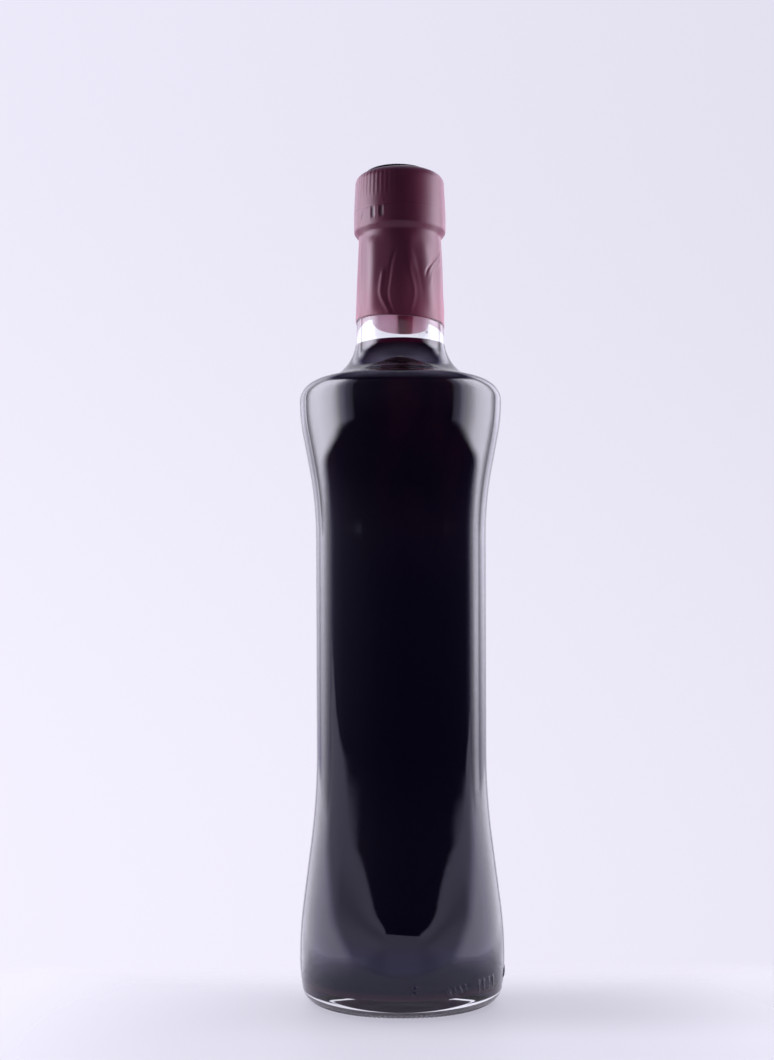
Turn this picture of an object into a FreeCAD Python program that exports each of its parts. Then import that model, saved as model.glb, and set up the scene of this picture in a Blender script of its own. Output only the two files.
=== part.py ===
"""Half-litre syrup bottle: waisted clear glass, its syrup, a screw cap and the shrunk-on capsule.

Millimetres, +Z up. The origin is the middle of the ring that the bottle stands on.
The front of the bottle faces -Y. Every profile is drawn in the XZ plane and turned about Z.
"""

import FreeCAD, Part
import math
import os
from collections import namedtuple

import Sketcher

# Driving dimensions, in millimetres, degrees and whole numbers.
SIZES = {
    # glass, outside
    "foot_diameter": 70.2,
    "foot_height": 15.0,           # height of the widest ring of the foot
    "foot_under_radius": 58.0,     # side of the foot below that ring
    "heel_radius": 5.7,
    "bearing_width": 2.6,          # flat ring that the bottle stands on
    "punt_height": 4.5,            # hollow under the base
    "foot_flare_height": 70.0,     # from the widest ring of the foot up to the waist
    "foot_bend": 9.3,              # from a widest or narrowest ring to the corner its arc rounds off
    "waist_lower_bend": 14.8,
    "waist_diameter": 58.3,
    "waist_upper_bend": 12.0,
    "shoulder_flare_height": 46.3,
    "shoulder_bend": 5.8,
    "shoulder_diameter": 69.1,
    "shoulder_corner_radius": 6.2,
    "neck_sweep_radius": 16.6,
    "neck_root_height": 226.6,     # where the sweep of the shoulder runs into the neck
    "neck_length": 53.4,           # from there to the mouth
    "neck_taper": 2.15,            # lean of the neck's side, in degrees
    "finish_diameter": 27.44,      # straight part of the neck under the cap
    "lip_radius": 0.8,
    # glass, inside
    "wall_thickness": 3.2,
    "bore_diameter": 19.4,
    "floor_height": 6.2,           # lowest ring of the inside
    "floor_rise": 2.5,             # how far the middle of the floor stands above it
    "floor_corner_radius": 5.5,
    # syrup
    "syrup_clearance": 0.05,
    "fill_drop": 1.6,              # from the neck's root down to the syrup's surface
    # screw cap
    "thread_clearance": 0.28,
    "cap_wall": 1.35,
    "seal_clearance": 0.05,
    "cap_top_thickness": 1.45,
    "cap_skirt": 17.2,             # how far the cap reaches below the mouth
    "tamper_band_height": 6.2,
    "crown_draft": 3.0,            # lean of the cap's side above the tamper band, in degrees
    "crown_radius": 2.4,
    "boss_diameter": 22.0,
    "boss_height": 1.7,
    "boss_edge_radius": 0.4,
    # shrunk-on capsule
    "film_clearance": 0.05,
    "film_thickness": 0.3,
    "ledge_height": 2.0,           # where the film widens from the neck to the cap
    "film_start": 4.8,             # bare neck between its root and the film's lower edge
    "film_rim_gap": 1.3,           # from the boss out to the film's rim on top of the cap
    "rib_count": 60,
    "rib_width": 0.7,
    "rib_height": 0.16,
    "rib_start": 3.0,              # ribs begin this far above the tamper band
    "window_width": 1.3,
    "window_height": 4.0,
    "window_depth": 0.2,
    "window_spacing": 12.0,        # angle between the two windows, in degrees
    "window_bearing": 36.0,        # angle of the outer window left of the front, in degrees
}

SHEET_NAME = "Sizes"
CUT_MARGIN = 1.0                   # how far a cut runs past the solid that it cuts
SAME_PLACE = 1e-4                  # two heights or radii closer than this are one
FULL_TURN = 360

# Vertices of a sketch piece, and the sketch's own origin and axes.
START, END, CENTRE = 1, 2, 3
ORIGIN = (-1, 1)
LEVEL_AXIS = -1
UPRIGHT_AXIS = -2

Piece = namedtuple("Piece", "index entry leave centre")


class Size:
    """A length or angle that carries its value together with the sheet formula behind it."""

    def __init__(self, value, formula):
        self.value = value
        self.formula = formula

    @staticmethod
    def of(other):
        return other if isinstance(other, Size) else Size(other, str(other))

    def __add__(self, other):
        other = Size.of(other)
        return Size(self.value + other.value, f"({self.formula} + {other.formula})")

    def __sub__(self, other):
        other = Size.of(other)
        return Size(self.value - other.value, f"({self.formula} - {other.formula})")

    def __neg__(self):
        return Size(-self.value, f"(0 - {self.formula})")

    def __mul__(self, other):
        other = Size.of(other)
        return Size(self.value * other.value, f"({self.formula} * {other.formula})")

    def __truediv__(self, divisor):
        return Size(self.value / divisor, f"({self.formula} / {divisor})")

    def radians(self):
        return math.radians(self.value)

    def sine(self):
        return Size(math.sin(self.radians()), f"sin({self.formula})")

    def cosine(self):
        return Size(math.cos(self.radians()), f"cos({self.formula})")

    def tangent(self):
        return Size(math.tan(self.radians()), f"tan({self.formula})")


def size(name):
    return Size(SIZES[name], f"{SHEET_NAME}.{name}")


def half(name):
    return size(name) / 2


# Places that more than one piece is built to.
NOTHING = Size(0.0, "0")
NECK_ROOT = size("neck_root_height")
MOUTH = NECK_ROOT + size("neck_length")
FILL_LEVEL = NECK_ROOT - size("fill_drop")
FINISH_RADIUS = half("finish_diameter")
CAP_BORE = FINISH_RADIUS + size("thread_clearance")
CAP_RADIUS = CAP_BORE + size("cap_wall")
CAP_FOOT = MOUTH - size("cap_skirt")
BAND_TOP = CAP_FOOT + size("tamper_band_height")
CAP_UNDERSIDE = MOUTH + size("seal_clearance")
CAP_TOP = CAP_UNDERSIDE + size("cap_top_thickness")
COLLAR = CAP_FOOT - size("ledge_height")
FILM_INSIDE = size("film_clearance")
FILM_OUTSIDE = FILM_INSIDE + size("film_thickness")
FILM_FOOT = NECK_ROOT + size("film_start")
RIB_FADE = Size(30.0, "30")        # how far round the cap's rounded edge the ribs reach, in degrees


def make_sheet(doc):
    sheet = doc.addObject("Spreadsheet::Sheet", SHEET_NAME)
    for row, (name, value) in enumerate(SIZES.items(), start=1):
        sheet.set(f"A{row}", name)
        sheet.set(f"B{row}", str(value))
        sheet.setAlias(f"B{row}", name)
    doc.recompute()


def make_body(doc, name):
    body = doc.addObject("PartDesign::Body", name)
    body.Label = name
    body.Placement = FreeCAD.Placement()
    return body


def origin_part(body, role):
    return next(item for item in body.Origin.OriginFeatures if item.Role == role)


def point(across, up):
    return FreeCAD.Vector(across, up, 0)


class Outline:
    """A closed sketch drawn piece after piece, from end to end, and held by the sheet's sizes."""

    def __init__(self, body, name):
        self.body = body
        self.sketch = body.newObject("Sketcher::SketchObject", name)
        self.sketch.AttachmentSupport = (origin_part(body, "XZ_Plane"), [""])
        self.sketch.MapMode = "FlatFace"
        self.pieces = []

    def join(self, index, entry, leave, smooth):
        """Ties a new piece to the end of the last one, tangent to it where smooth."""
        piece = Piece(index, (index, entry), (index, leave), (index, CENTRE))
        if self.pieces:
            rule = "Tangent" if smooth else "Coincident"
            self.rule(rule, *self.pieces[-1].leave, *piece.entry)
        self.pieces.append(piece)
        return piece

    def line(self, start, end, smooth=False):
        index = self.sketch.addGeometry(Part.LineSegment(start, end), False)
        return self.join(index, START, END, smooth)

    def arc(self, start, end, centre, smooth=True):
        """Adds an arc of less than half a turn. The sketch keeps its arcs counter-clockwise."""
        forward = (start - centre).cross(end - centre).z > 0
        low, high = (start, end) if forward else (end, start)
        from_angle = math.atan2(low.y - centre.y, low.x - centre.x)
        to_angle = math.atan2(high.y - centre.y, high.x - centre.x)
        if to_angle < from_angle:
            to_angle += 2 * math.pi
        circle = Part.Circle(centre, FreeCAD.Vector(0, 0, 1), centre.distanceToPoint(low))
        index = self.sketch.addGeometry(Part.ArcOfCircle(circle, from_angle, to_angle), False)
        entry, leave = (START, END) if forward else (END, START)
        return self.join(index, entry, leave, smooth)

    def close(self):
        """Draws the line back to the first piece."""
        last, first = self.pieces[-1].leave, self.pieces[0].entry
        piece = self.line(self.sketch.getPoint(*last), self.sketch.getPoint(*first))
        self.rule("Coincident", *piece.leave, *first)

    def marker(self, place):
        """Adds a corner that the profile is rounded off inside of."""
        return (self.sketch.addGeometry(Part.Point(place), True), START)

    def rule(self, kind, *places):
        """Adds a rule that has no size, such as Horizontal, Vertical or PointOnObject."""
        self.sketch.addConstraint(Sketcher.Constraint(kind, *places))

    def bind(self, kind, places, value, formula):
        index = self.sketch.addConstraint(Sketcher.Constraint(kind, *places, value))
        self.sketch.setExpression(f"Constraints[{index}]", formula)

    def across(self, first, second, length):
        self.bind("DistanceX", (*first, *second), length.value, length.formula)

    def up(self, first, second, length):
        self.bind("DistanceY", (*first, *second), length.value, length.formula)

    def radius(self, piece, length):
        self.bind("Radius", (piece.index,), length.value, length.formula)

    def lean(self, piece, angle):
        """Sets how far a rising line leans towards the axis, from upright."""
        self.bind("Angle", (piece.index,), math.radians(90 + angle.value), f"90 + {angle.formula}")

    def place(self, vertex, across, up):
        """Sets both distances of a vertex from the sketch's axes."""
        for length, set_distance, axis in ((across, self.across, UPRIGHT_AXIS), (up, self.up, LEVEL_AXIS)):
            if length is NOTHING:
                self.rule("PointOnObject", *vertex, axis)
            elif length.value > 0:
                set_distance(ORIGIN, vertex, length)
            else:
                set_distance(vertex, ORIGIN, -length)

    def polygon(self, corners):
        """Draws a closed polygon through corners given as pairs of sizes."""
        places = [point(across.value, up.value) for across, up in corners]
        for start, end in zip(places, places[1:]):
            self.line(start, end)
        self.close()
        for piece, corner in zip(self.pieces, corners):
            self.place(piece.entry, *corner)

    def turned(self, kind, name):
        """Turns the closed profile about Z into a Revolution or a Groove."""
        feature = self.body.newObject(f"PartDesign::{kind}", name)
        feature.Profile = self.sketch
        feature.ReferenceAxis = (self.sketch, ["V_Axis"])
        feature.Angle = FULL_TURN
        self.sketch.Visibility = False
        self.body.Document.recompute()
        return feature


def bend_centre(corner, start, end):
    """Centre of the arc that leaves one leg of a corner at start and meets the other at end."""
    first_leg = start - corner
    both_legs = first_leg + (end - corner)
    return corner + both_legs * (first_leg.dot(first_leg) / both_legs.dot(first_leg))


def draw_flare(outline, low_ring, high_ring, low_bend, high_bend):
    """Draws a cone between two rings, with an arc at each end that leaves the ring upright.

    Each arc rounds off the corner where the cone would meet the upright line through its
    ring, and low_bend or high_bend is how far that corner lies from the ring.
    """
    low_corner = low_ring + point(0, low_bend.value)
    high_corner = high_ring - point(0, high_bend.value)
    direction = (high_corner - low_corner).normalize()
    cone_start = low_corner + direction * low_bend.value
    cone_end = high_corner - direction * high_bend.value
    low_arc = outline.arc(low_ring, cone_start, bend_centre(low_corner, low_ring, cone_start))
    cone = outline.line(cone_start, cone_end, smooth=True)
    high_arc = outline.arc(cone_end, high_ring, bend_centre(high_corner, cone_end, high_ring))
    low_marker = outline.marker(low_corner)
    high_marker = outline.marker(high_corner)
    outline.rule("PointOnObject", *low_marker, cone.index)
    outline.rule("PointOnObject", *high_marker, cone.index)
    outline.rule("Vertical", *low_arc.entry, *low_marker)
    outline.rule("Vertical", *high_marker, *high_arc.leave)
    outline.up(low_arc.entry, low_marker, low_bend)
    outline.up(high_marker, high_arc.leave, high_bend)
    return low_arc, high_arc


class Foot:
    """The lowest stretch of a bottle's side: a small arc inside the end of a larger one."""

    def __init__(self, inset, corner_radius, corner_height):
        self.inset = inset
        self.corner_radius = corner_radius
        self.side_radius = size("foot_under_radius")
        self.widest_radius = half("foot_diameter") - inset
        self.widest = point(self.widest_radius.value, SIZES["foot_height"])
        self.side_centre = self.widest - point(self.side_radius.value, 0)
        reach = self.side_radius.value - corner_radius.value
        drop = self.widest.y - corner_height.value
        self.corner_centre = self.side_centre + point(math.sqrt(reach ** 2 - drop ** 2), -drop)
        outward = (self.corner_centre - self.side_centre).normalize()
        self.side_start = self.side_centre + outward * self.side_radius.value

    def draw(self, outline, corner_start):
        """Draws both arcs, up to the widest ring, and returns the small one."""
        corner = outline.arc(corner_start, self.side_start, self.corner_centre)
        side = outline.arc(self.side_start, self.widest, self.side_centre)
        outline.radius(corner, self.corner_radius)
        outline.radius(side, self.side_radius)
        outline.place(side.leave, self.widest_radius, size("foot_height"))
        outline.rule("Horizontal", *side.centre, *side.leave)
        return corner


def draw_body_side(outline, foot, neck_radius, neck_lean):
    """Draws the side from the foot's widest ring up to the root of the neck.

    The side runs foot.inset inside the outside of the glass. neck_radius is the neck's
    radius at its root, and neck_lean is how far the neck's side leans there.
    """
    inset = foot.inset
    waist_radius = half("waist_diameter") - inset
    shoulder_radius = half("shoulder_diameter") - inset
    corner_radius = size("shoulder_corner_radius") - inset
    sweep_radius = size("neck_sweep_radius") + inset

    root = point(neck_radius.value, NECK_ROOT.value)
    outward = point(neck_lean.cosine().value, neck_lean.sine().value)
    sweep_centre = root + outward * sweep_radius.value
    corner_across = shoulder_radius.value - corner_radius.value
    reach = corner_radius.value + sweep_radius.value
    rise = math.sqrt(reach ** 2 - (sweep_centre.x - corner_across) ** 2)
    corner_centre = point(corner_across, sweep_centre.y - rise)
    broadest = corner_centre + point(corner_radius.value, 0)
    sweep_start = corner_centre + (sweep_centre - corner_centre) * (corner_radius.value / reach)

    waist_low = point(waist_radius.value, foot.widest.y + SIZES["foot_flare_height"])
    waist_high = point(waist_radius.value, broadest.y - SIZES["shoulder_flare_height"])
    foot_arc, _ = draw_flare(outline, foot.widest, waist_low, size("foot_bend"), size("waist_lower_bend"))
    waist = outline.line(waist_low, waist_high, smooth=True)
    _, broad_arc = draw_flare(outline, waist_high, broadest, size("waist_upper_bend"), size("shoulder_bend"))
    corner = outline.arc(broadest, sweep_start, corner_centre)
    sweep = outline.arc(sweep_start, root, sweep_centre)

    outline.rule("Vertical", waist.index)
    outline.across(ORIGIN, waist.entry, waist_radius)
    outline.up(foot_arc.entry, waist.entry, size("foot_flare_height"))
    outline.up(waist.leave, broad_arc.leave, size("shoulder_flare_height"))
    outline.across(ORIGIN, corner.entry, shoulder_radius)
    outline.rule("Horizontal", *corner.centre, *corner.entry)
    outline.radius(corner, corner_radius)
    outline.radius(sweep, sweep_radius)
    outline.up(ORIGIN, sweep.leave, NECK_ROOT)


def neck_radius_at(height):
    """Radius of the neck's tapered side at a height between its root and the collar."""
    return FINISH_RADIUS + (COLLAR - height) * size("neck_taper").tangent()


def draw_outside(body):
    """Draws the outside of the glass: punt, bearing ring, heel, side, neck and finish."""
    outline = Outline(body, "bottle_outside")
    foot = Foot(NOTHING, size("heel_radius"), size("heel_radius"))
    heel_start = point(foot.corner_centre.x, 0)
    ring_start = heel_start - point(SIZES["bearing_width"], 0)
    punt_rise = SIZES["punt_height"]
    punt_radius = (ring_start.x ** 2 + punt_rise ** 2) / (2 * punt_rise)
    root_radius = neck_radius_at(NECK_ROOT)

    punt = outline.arc(point(0, punt_rise), ring_start, point(0, punt_rise - punt_radius))
    ring = outline.line(ring_start, heel_start)
    foot.draw(outline, heel_start)
    draw_body_side(outline, foot, root_radius, size("neck_taper"))
    root = point(root_radius.value, NECK_ROOT.value)
    collar = point(FINISH_RADIUS.value, COLLAR.value)
    lip = point(FINISH_RADIUS.value, MOUTH.value)
    neck = outline.line(root, collar, smooth=True)
    finish = outline.line(collar, lip)
    mouth = outline.line(lip, point(0, MOUTH.value))
    outline.close()

    outline.place(punt.entry, NOTHING, size("punt_height"))
    outline.rule("PointOnObject", *punt.centre, UPRIGHT_AXIS)
    outline.rule("PointOnObject", *ring.entry, LEVEL_AXIS)
    outline.rule("Horizontal", ring.index)
    outline.across(ring.entry, ring.leave, size("bearing_width"))
    outline.lean(neck, size("neck_taper"))
    outline.place(finish.entry, FINISH_RADIUS, COLLAR)
    outline.rule("Vertical", finish.index)
    outline.up(ORIGIN, finish.leave, MOUTH)
    outline.rule("Horizontal", mouth.index)
    outline.rule("PointOnObject", *mouth.leave, UPRIGHT_AXIS)
    return outline


def draw_inside(body, name, clearance):
    """Draws the inside of the glass, clearance inside it, from the floor to past the mouth."""
    outline = Outline(body, name)
    inset = size("wall_thickness") + clearance
    corner_radius = size("floor_corner_radius") - clearance
    floor = size("floor_height") + clearance
    corner_height = floor + corner_radius
    bore_radius = half("bore_diameter") - clearance
    top = MOUTH + CUT_MARGIN

    foot = Foot(inset, corner_radius, corner_height)
    crown = floor + size("floor_rise")
    drop = crown.value - corner_height.value
    across = foot.corner_centre.x
    floor_radius = (across ** 2 + drop ** 2 - corner_radius.value ** 2) / (2 * SIZES["floor_rise"])
    floor_centre = point(0, crown.value - floor_radius)
    share = corner_radius.value / (corner_radius.value + floor_radius)
    floor_end = foot.corner_centre + (floor_centre - foot.corner_centre) * share

    dome = outline.arc(point(0, crown.value), floor_end, floor_centre)
    corner = foot.draw(outline, floor_end)
    draw_body_side(outline, foot, bore_radius, NOTHING)
    root = point(bore_radius.value, NECK_ROOT.value)
    bore = outline.line(root, point(bore_radius.value, top.value), smooth=True)
    lid = outline.line(point(bore_radius.value, top.value), point(0, top.value))
    outline.close()

    outline.place(dome.entry, NOTHING, crown)
    outline.rule("PointOnObject", *dome.centre, UPRIGHT_AXIS)
    outline.up(ORIGIN, corner.centre, corner_height)
    outline.rule("Vertical", bore.index)
    outline.place(bore.leave, bore_radius, top)
    outline.rule("Horizontal", lid.index)
    outline.rule("PointOnObject", *lid.leave, UPRIGHT_AXIS)
    return outline


def cut_plug(body, name, radius, low, high):
    """Cuts a plain cylinder about Z out of a body."""
    outline = Outline(body, f"{name}_profile")
    outline.polygon(((NOTHING, low), (radius, low), (radius, high), (NOTHING, high)))
    outline.turned("Groove", name)


def rings_at(shape, height, radius):
    """Names of the round edges about Z at a height and radius."""
    names = []
    for number, edge in enumerate(shape.Edges, start=1):
        if edge.Degenerated or not isinstance(edge.Curve, Part.Circle):
            continue
        level = abs(edge.Curve.Center.z - height) < SAME_PLACE
        if level and abs(edge.Curve.Radius - radius) < SAME_PLACE:
            names.append(f"Edge{number}")
    return names


def round_rings(body, name, rings, radius):
    """Rounds the edges at the given pairs of height and radius."""
    base = body.Tip
    edges = []
    for height, ring_radius in rings:
        edges += rings_at(base.Shape, height.value, ring_radius.value)
    fillet = body.newObject("PartDesign::Fillet", name)
    fillet.Base = (base, edges)
    fillet.setExpression("Radius", radius.formula)
    body.Document.recompute()


def make_bottle(doc):
    body = make_body(doc, "bottle")
    draw_outside(body).turned("Revolution", "glass")
    draw_inside(body, "bottle_inside", NOTHING).turned("Groove", "hollow")
    lip_rings = ((MOUTH, FINISH_RADIUS), (MOUTH, half("bore_diameter")))
    round_rings(body, "lip", lip_rings, size("lip_radius"))
    return body


def make_syrup(doc):
    body = make_body(doc, "syrup")
    draw_inside(body, "syrup_outline", size("syrup_clearance")).turned("Revolution", "full")
    beyond = size("shoulder_diameter") + size("foot_diameter")
    cut_plug(body, "headspace", beyond, FILL_LEVEL, MOUTH + 2 * CUT_MARGIN)
    return body


def draw_cap_side(outline, offset, foot, end):
    """Draws the cap's band, leaning crown, rounded edge and top, offset outside the cap.

    The band begins at the height foot, and the top ends at the radius end.
    """
    draft = size("crown_draft")
    band_radius = CAP_RADIUS + offset
    edge_radius = size("crown_radius") + offset
    top = CAP_TOP + offset
    outward = point(draft.cosine().value, draft.sine().value)
    edge_height = top.value - edge_radius.value
    crown_in = (edge_height - BAND_TOP.value) * draft.tangent().value
    edge_across = band_radius.value - crown_in - edge_radius.value / draft.cosine().value
    edge_centre = point(edge_across, edge_height)
    edge_start = edge_centre + outward * edge_radius.value
    edge_end = edge_centre + point(0, edge_radius.value)

    band = outline.line(point(band_radius.value, foot.value), point(band_radius.value, BAND_TOP.value))
    crown = outline.line(point(band_radius.value, BAND_TOP.value), edge_start)
    edge = outline.arc(edge_start, edge_end, edge_centre)
    top_line = outline.line(edge_end, point(end.value, top.value), smooth=True)

    outline.place(band.entry, band_radius, foot)
    outline.rule("Vertical", band.index)
    outline.up(ORIGIN, band.leave, BAND_TOP)
    outline.lean(crown, draft)
    outline.radius(edge, edge_radius)
    outline.rule("Horizontal", top_line.index)
    outline.up(ORIGIN, top_line.leave, top)
    if end is NOTHING:
        outline.rule("PointOnObject", *top_line.leave, UPRIGHT_AXIS)
    else:
        outline.across(ORIGIN, top_line.leave, end)


def make_screw_cap(doc):
    body = make_body(doc, "screw_cap")
    outline = Outline(body, "cap_profile")
    boss_radius = half("boss_diameter")
    boss_top = CAP_TOP + size("boss_height")
    inside = point(CAP_BORE.value, CAP_UNDERSIDE.value)
    boss_edge = point(boss_radius.value, boss_top.value)
    foot = outline.line(point(CAP_BORE.value, CAP_FOOT.value), point(CAP_RADIUS.value, CAP_FOOT.value))
    draw_cap_side(outline, NOTHING, CAP_FOOT, boss_radius)
    boss_side = outline.line(point(boss_radius.value, CAP_TOP.value), boss_edge)
    boss_face = outline.line(boss_edge, point(0, boss_top.value))
    axis = outline.line(point(0, boss_top.value), point(0, inside.y))
    underside = outline.line(point(0, inside.y), inside)
    outline.close()

    outline.place(foot.entry, CAP_BORE, CAP_FOOT)
    outline.rule("Vertical", boss_side.index)
    outline.place(boss_face.leave, NOTHING, boss_top)
    outline.rule("Horizontal", boss_face.index)
    outline.place(axis.leave, NOTHING, CAP_UNDERSIDE)
    outline.place(underside.leave, CAP_BORE, CAP_UNDERSIDE)
    outline.turned("Revolution", "cap")
    round_rings(body, "boss_edge", ((boss_top, boss_radius),), size("boss_edge_radius"))
    return body


def draw_wrap(body, name, offset, foot):
    """Draws the closed shape that film wraps, offset outside the neck and the cap."""
    outline = Outline(body, name)
    foot_radius = neck_radius_at(foot) + offset
    collar_radius = FINISH_RADIUS + offset
    ledge_top = CAP_FOOT - FILM_INSIDE
    collar = point(collar_radius.value, COLLAR.value)
    base = outline.line(point(0, foot.value), point(foot_radius.value, foot.value))
    neck = outline.line(point(foot_radius.value, foot.value), collar)
    outline.line(collar, point(CAP_RADIUS.value + offset.value, ledge_top.value))
    draw_cap_side(outline, offset, ledge_top, NOTHING)
    outline.close()

    outline.place(base.entry, NOTHING, foot)
    outline.place(neck.entry, foot_radius, foot)
    outline.place(neck.leave, collar_radius, COLLAR)
    return outline


def crown_film_radius(height):
    """Outer radius of the film on the leaning crown of the cap."""
    return CAP_RADIUS + FILM_OUTSIDE - (height - BAND_TOP) * size("crown_draft").tangent()


def add_ribs(body):
    """Pads one grip rib on the film's crown and repeats it all round."""
    outline = Outline(body, "rib_profile")
    buried = half("film_thickness")
    proud = size("rib_height")
    low = BAND_TOP + size("rib_start")
    full = low + proud * 2
    high = CAP_TOP - size("crown_radius")
    turn_radius = size("crown_radius") + FILM_INSIDE + buried
    turn_in = turn_radius - turn_radius * RIB_FADE.cosine()
    outline.polygon((
        (crown_film_radius(low) - buried, low),
        (crown_film_radius(full) + proud, full),
        (crown_film_radius(high) + proud, high),
        (crown_film_radius(high) - buried - turn_in, high + turn_radius * RIB_FADE.sine()),
        (crown_film_radius(high) - buried, high),
    ))
    rib = body.newObject("PartDesign::Pad", "rib")
    rib.Profile = outline.sketch
    rib.Midplane = True
    rib.setExpression("Length", size("rib_width").formula)
    body.Document.recompute()
    ribs = body.newObject("PartDesign::PolarPattern", "ribs")
    ribs.Originals = [rib]
    ribs.Axis = (origin_part(body, "Z_Axis"), [""])
    ribs.Angle = FULL_TURN
    ribs.setExpression("Occurrences", size("rib_count").formula)
    body.Tip = ribs
    body.Document.recompute()


def add_windows(body):
    """Presses the two tamper windows into the film, left of the front."""
    outline = Outline(body, "window_profile")
    bearing = -size("window_bearing")
    stand_off = CAP_RADIUS + FILM_OUTSIDE + CUT_MARGIN
    middle = (CAP_FOOT + BAND_TOP) / 2
    left, right = -half("window_width"), half("window_width")
    low, high = middle - half("window_height"), middle + half("window_height")
    outline.polygon(((left, low), (right, low), (right, high), (left, high)))
    across = stand_off * bearing.sine()
    outward = stand_off * bearing.cosine()
    turn = FreeCAD.Rotation(FreeCAD.Vector(0, 1, 0), bearing.value)
    sketch = outline.sketch
    sketch.AttachmentOffset = FreeCAD.Placement(FreeCAD.Vector(across.value, 0, outward.value), turn)
    sketch.setExpression("AttachmentOffset.Base.x", across.formula)
    sketch.setExpression("AttachmentOffset.Base.z", outward.formula)
    sketch.setExpression("AttachmentOffset.Rotation.Angle", f"{bearing.formula}")
    window = body.newObject("PartDesign::Pocket", "window")
    window.Profile = sketch
    window.setExpression("Length", (size("window_depth") + CUT_MARGIN).formula)
    body.Document.recompute()
    windows = body.newObject("PartDesign::PolarPattern", "windows")
    windows.Originals = [window]
    windows.Axis = (origin_part(body, "Z_Axis"), [""])
    windows.Occurrences = 2
    windows.setExpression("Angle", size("window_spacing").formula)
    body.Tip = windows
    body.Document.recompute()


def make_capsule(doc):
    body = make_body(doc, "capsule")
    draw_wrap(body, "film_outside", FILM_OUTSIDE, FILM_FOOT).turned("Revolution", "film")
    below = FILM_FOOT - CUT_MARGIN
    draw_wrap(body, "film_inside", FILM_INSIDE, below).turned("Groove", "film_hollow")
    opening = half("boss_diameter") + size("film_rim_gap")
    cut_plug(body, "opening", opening, CAP_TOP, CAP_TOP + FILM_OUTSIDE + CUT_MARGIN)
    add_ribs(body)
    add_windows(body)
    return body


def check(doc, bodies):
    """Stops where a feature failed or a piece has no sound solid."""
    failed = [item.Name for item in doc.Objects if {"Invalid", "Error"} & set(item.State)]
    if failed:
        raise RuntimeError(f"features failed: {failed}")
    for body in bodies:
        shape = body.Shape
        if shape.isNull() or not shape.isValid() or len(shape.Solids) != 1:
            raise RuntimeError(f"{body.Label} is not one sound solid")


def main():
    doc = FreeCAD.newDocument("syrup_bottle")
    make_sheet(doc)
    bodies = [make(doc) for make in (make_bottle, make_syrup, make_screw_cap, make_capsule)]
    doc.recompute()
    check(doc, bodies)
    os.makedirs("parts", exist_ok=True)
    for body in bodies:
        body.Shape.exportStep(f"parts/{body.Label}.step")


main()
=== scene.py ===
"""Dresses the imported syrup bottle: glass, syrup, screw cap and shrunk-on capsule, in a plain studio.

Lengths in the tables are millimetres and angles are degrees, as in the part's source.
A bearing is measured round +Z from the front (-Y), positive towards +X.
"""

import math

import bmesh
import bpy
import numpy as np
from mathutils import Matrix, Vector


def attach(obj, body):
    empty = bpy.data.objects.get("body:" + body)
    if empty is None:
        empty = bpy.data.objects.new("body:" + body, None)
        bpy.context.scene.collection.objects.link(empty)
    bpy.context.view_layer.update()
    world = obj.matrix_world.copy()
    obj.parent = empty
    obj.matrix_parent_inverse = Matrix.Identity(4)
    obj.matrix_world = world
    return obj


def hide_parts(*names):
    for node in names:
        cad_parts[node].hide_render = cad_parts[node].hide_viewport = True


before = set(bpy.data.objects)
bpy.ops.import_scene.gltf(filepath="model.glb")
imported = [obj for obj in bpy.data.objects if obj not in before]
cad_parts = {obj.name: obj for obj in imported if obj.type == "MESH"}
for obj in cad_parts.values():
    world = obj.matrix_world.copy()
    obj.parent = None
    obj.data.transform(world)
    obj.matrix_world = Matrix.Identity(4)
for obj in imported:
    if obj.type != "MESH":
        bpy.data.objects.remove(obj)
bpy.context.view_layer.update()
MM = 0.001

# ---------------------------------------------------------------- sizes of the solids
FOOT_RADIUS = 35.1
FOOT_HEIGHT = 15.0
FOOT_UNDER_RADIUS = 58.0
HEEL_RADIUS = 5.7
BEARING_WIDTH = 2.6
PUNT_HEIGHT = 4.5
FOOT_FLARE = 70.0
WAIST_RADIUS = 29.15
SHOULDER_FLARE = 46.3
SHOULDER_RADIUS = 34.55
CORNER_RADIUS = 6.2
SWEEP_RADIUS = 16.6
NECK_ROOT = 226.6
MOUTH = 280.0
NECK_TAPER = math.radians(2.15)
FINISH_RADIUS = 13.72
LIP_RADIUS = 0.8
WALL = 3.2
BORE_RADIUS = 9.7
FLOOR_HEIGHT = 6.2
FLOOR_RISE = 2.5
FLOOR_CORNER = 5.5
FILL_LEVEL = 225.0
COLLAR = 260.8
CAP_FOOT = 262.8
CAP_BORE = 14.0
CAP_RADIUS = 15.35
BAND_TOP = 269.0
CAP_UNDERSIDE = 280.05
CAP_TOP = 281.5
CROWN_DRAFT = math.radians(3.0)
CROWN_RADIUS = 2.4
BOSS_RADIUS = 11.0
BOSS_HEIGHT = 1.7
FILM_FOOT = 231.4
FILM_GAP = 0.05
FILM = 0.3
FILM_RIM = 12.3

SAME_POINT = 1e-4


# ---------------------------------------------------------------- profiles (radius, height)
def spaced(start, end, step):
    """Points along a straight run, without its end."""
    length = math.dist(start, end)
    count = max(1, math.ceil(length / step))
    return [
        (start[0] + (end[0] - start[0]) * i / count, start[1] + (end[1] - start[1]) * i / count)
        for i in range(count)
    ]


def arc(centre, radius, start, end, step):
    """Points along an arc between two directions in degrees, with both ends."""
    length = abs(math.radians(end - start)) * radius
    count = max(3, math.ceil(length / step))
    points = []
    for i in range(count + 1):
        angle = math.radians(start + (end - start) * i / count)
        points.append((centre[0] + radius * math.cos(angle), centre[1] + radius * math.sin(angle)))
    return points


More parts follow.
